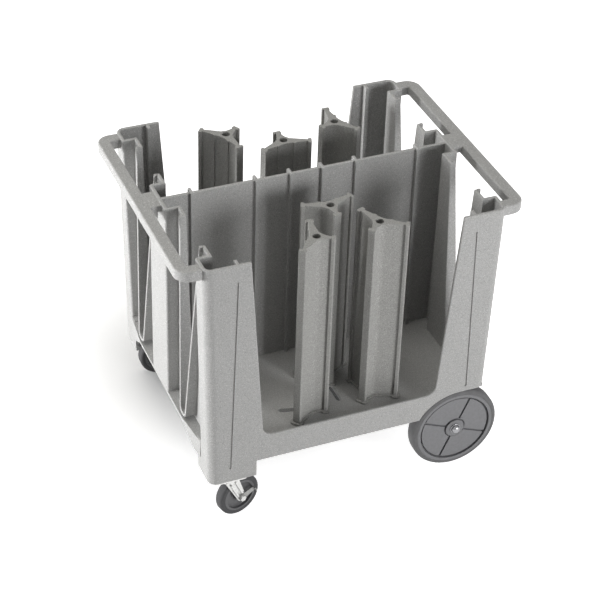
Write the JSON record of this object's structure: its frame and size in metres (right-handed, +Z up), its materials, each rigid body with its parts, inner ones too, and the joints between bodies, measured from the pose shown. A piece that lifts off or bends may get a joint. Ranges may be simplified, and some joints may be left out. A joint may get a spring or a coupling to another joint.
{
  "type": "plate cart",
  "caption": "Moulded open-top cart for stacked plates, with a middle wall, sliding Y-shaped towers, end handles, large fixed wheels at one end and swivel casters at the other",
  "frame": {"origin": "on the ground under the middle of the cart's overall box", "axes": "+X along the cart towards the large fixed wheels, +Y towards the back long side, +Z up"},
  "size_m": [0.948, 0.7286, 0.835],
  "materials": {
    "body_plastic": "moulded polyethylene, fine speckle, slightly pebbled",
    "tower_plastic": "moulded polyethylene, fine speckle",
    "wheel_plastic": "moulded plastic, satin",
    "tyre_rubber": "grey tread rubber, matt",
    "bush_plastic": "natural nylon",
    "bright_cap": "polished dome",
    "zinc_steel": "zinc-plated steel",
    "fastener_steel": "zinc-plated fastener",
    "blackened_steel": "blackened steel",
    "caster_core_plastic": "dark moulded plastic",
    "caster_tyre_rubber": "dark rubber, matt",
    "knob_plastic": "black moulded plastic",
    "block_plastic": "natural nylon"
  },
  "bodies": {
    "cart": {"cart_body": "body_plastic", "rear_axle": "zinc_steel", "axle_caps": "bright_cap", "axle_washers": "fastener_steel", "caster_plate_front": "zinc_steel", "caster_bolts_front": "fastener_steel", "caster_kingpin_front": "fastener_steel", "caster_plate_back": "zinc_steel", "caster_bolts_back": "fastener_steel", "caster_kingpin_back": "fastener_steel"},
    "wheel_front": {"wheel_disc_front": "wheel_plastic", "wheel_tyre_front": "tyre_rubber", "wheel_bush_front": "bush_plastic"},
    "caster_swivel_front": {"caster_fork_front": "zinc_steel", "caster_axle_front": "fastener_steel"},
    "caster_wheel_front": {"caster_wheel_core_front": "caster_core_plastic", "caster_tyre_front": "caster_tyre_rubber"},
    "brake_lever": {"brake_lever_front": "zinc_steel"},
    "wheel_back": {"wheel_disc_back": "wheel_plastic", "wheel_tyre_back": "tyre_rubber", "wheel_bush_back": "bush_plastic"},
    "caster_swivel_back": {"caster_fork_back": "zinc_steel", "caster_axle_back": "fastener_steel"},
    "caster_wheel_back": {"caster_wheel_core_back": "caster_core_plastic", "caster_tyre_back": "caster_tyre_rubber"},
    "carriage_front_left": {"tie_rod_front_left": "blackened_steel", "slide_block_front_left": "block_plastic", "clamp_knob_front_left": "knob_plastic"},
    "tower_front_left": {"tower_front_left": "tower_plastic"},
    "carriage_front_middle": {"tie_rod_front_middle": "blackened_steel", "slide_block_front_middle": "block_plastic", "clamp_knob_front_middle": "knob_plastic"},
    "tower_front_middle": {"tower_front_middle": "tower_plastic"},
    "carriage_front_right": {"tie_rod_front_right": "blackened_steel", "slide_block_front_right": "block_plastic", "clamp_knob_front_right": "knob_plastic"},
    "tower_front_right": {"tower_front_right": "tower_plastic"},
    "carriage_back_left": {"tie_rod_back_left": "blackened_steel", "slide_block_back_left": "block_plastic", "clamp_knob_back_left": "knob_plastic"},
    "tower_back_left": {"tower_back_left": "tower_plastic"},
    "carriage_back_middle": {"tie_rod_back_middle": "blackened_steel", "slide_block_back_middle": "block_plastic", "clamp_knob_back_middle": "knob_plastic"},
    "tower_back_middle": {"tower_back_middle": "tower_plastic"},
    "carriage_back_right": {"tie_rod_back_right": "blackened_steel", "slide_block_back_right": "block_plastic", "clamp_knob_back_right": "knob_plastic"},
    "tower_back_right": {"tower_back_right": "tower_plastic"}
  },
  "joints": [
    {"name": "wheel_spin_front", "type": "hinge", "parent": "cart", "child": "wheel_front", "pos_m": [0.323, -0.329, 0.127], "axis": [0, 1, 0], "continuous": true},
    {"name": "caster_swivel_front", "type": "hinge", "parent": "cart", "child": "caster_swivel_front", "pos_m": [-0.336, -0.328, 0.13], "axis": [0, 0, 1], "continuous": true},
    {"name": "caster_spin_front", "type": "hinge", "parent": "caster_swivel_front", "child": "caster_wheel_front", "pos_m": [-0.30702, -0.32023, 0.0625], "axis": [-0.2588, 0.9659, 0], "continuous": true},
    {"name": "brake_press", "type": "hinge", "parent": "caster_swivel_front", "child": "brake_lever", "pos_m": [-0.30702, -0.32023, 0.0625], "axis": [-0.2588, 0.9659, 0], "range_deg": [0, 22]},
    {"name": "wheel_spin_back", "type": "hinge", "parent": "cart", "child": "wheel_back", "pos_m": [0.323, 0.329, 0.127], "axis": [0, 1, 0], "continuous": true},
    {"name": "caster_swivel_back", "type": "hinge", "parent": "cart", "child": "caster_swivel_back", "pos_m": [-0.336, 0.328, 0.13], "axis": [0, 0, 1], "continuous": true},
    {"name": "caster_spin_back", "type": "hinge", "parent": "caster_swivel_back", "child": "caster_wheel_back", "pos_m": [-0.306, 0.328, 0.0625], "axis": [0, 1, 0], "continuous": true},
    {"name": "tower_slide_front_left", "type": "slide", "parent": "cart", "child": "carriage_front_left", "axis": [0.9703, -0.2419, 0], "range_m": [-0.06, 0]},
    {"name": "tower_turn_front_left", "type": "hinge", "parent": "carriage_front_left", "child": "tower_front_left", "pos_m": [-0.08, -0.266, 0.247], "axis": [0, 0, 1], "range_deg": [-15, 15]},
    {"name": "tower_slide_front_middle", "type": "slide", "parent": "cart", "child": "carriage_front_middle", "axis": [0, 1, 0], "range_m": [0, 0.05]},
    {"name": "tower_turn_front_middle", "type": "hinge", "parent": "carriage_front_middle", "child": "tower_front_middle", "pos_m": [0.009, -0.146, 0.247], "axis": [0, 0, 1], "range_deg": [-15, 15]},
    {"name": "tower_slide_front_right", "type": "slide", "parent": "cart", "child": "carriage_front_right", "axis": [0.9703, 0.2419, 0], "range_m": [0, 0.06]},
    {"name": "tower_turn_front_right", "type": "hinge", "parent": "carriage_front_right", "child": "tower_front_right", "pos_m": [0.098, -0.259, 0.247], "axis": [0, 0, 1], "range_deg": [-15, 15]},
    {"name": "tower_slide_back_left", "type": "slide", "parent": "cart", "child": "carriage_back_left", "axis": [0.9703, 0.2419, 0], "range_m": [-0.06, 0]},
    {"name": "tower_turn_back_left", "type": "hinge", "parent": "carriage_back_left", "child": "tower_back_left", "pos_m": [-0.123, 0.271, 0.247], "axis": [0, 0, 1], "range_deg": [-15, 15]},
    {"name": "tower_slide_back_middle", "type": "slide", "parent": "cart", "child": "carriage_back_middle", "axis": [0, 1, 0], "range_m": [-0.06, 0]},
    {"name": "tower_turn_back_middle", "type": "hinge", "parent": "carriage_back_middle", "child": "tower_back_middle", "pos_m": [0.013, 0.19, 0.247], "axis": [0, 0, 1], "range_deg": [-15, 15]},
    {"name": "tower_slide_back_right", "type": "slide", "parent": "cart", "child": "carriage_back_right", "axis": [0.9703, -0.2419, 0], "range_m": [-0.04, 0.04]},
    {"name": "tower_turn_back_right", "type": "hinge", "parent": "carriage_back_right", "child": "tower_back_right", "pos_m": [0.182, 0.235, 0.247], "axis": [0, 0, 1], "range_deg": [-15, 15]}
  ]
}
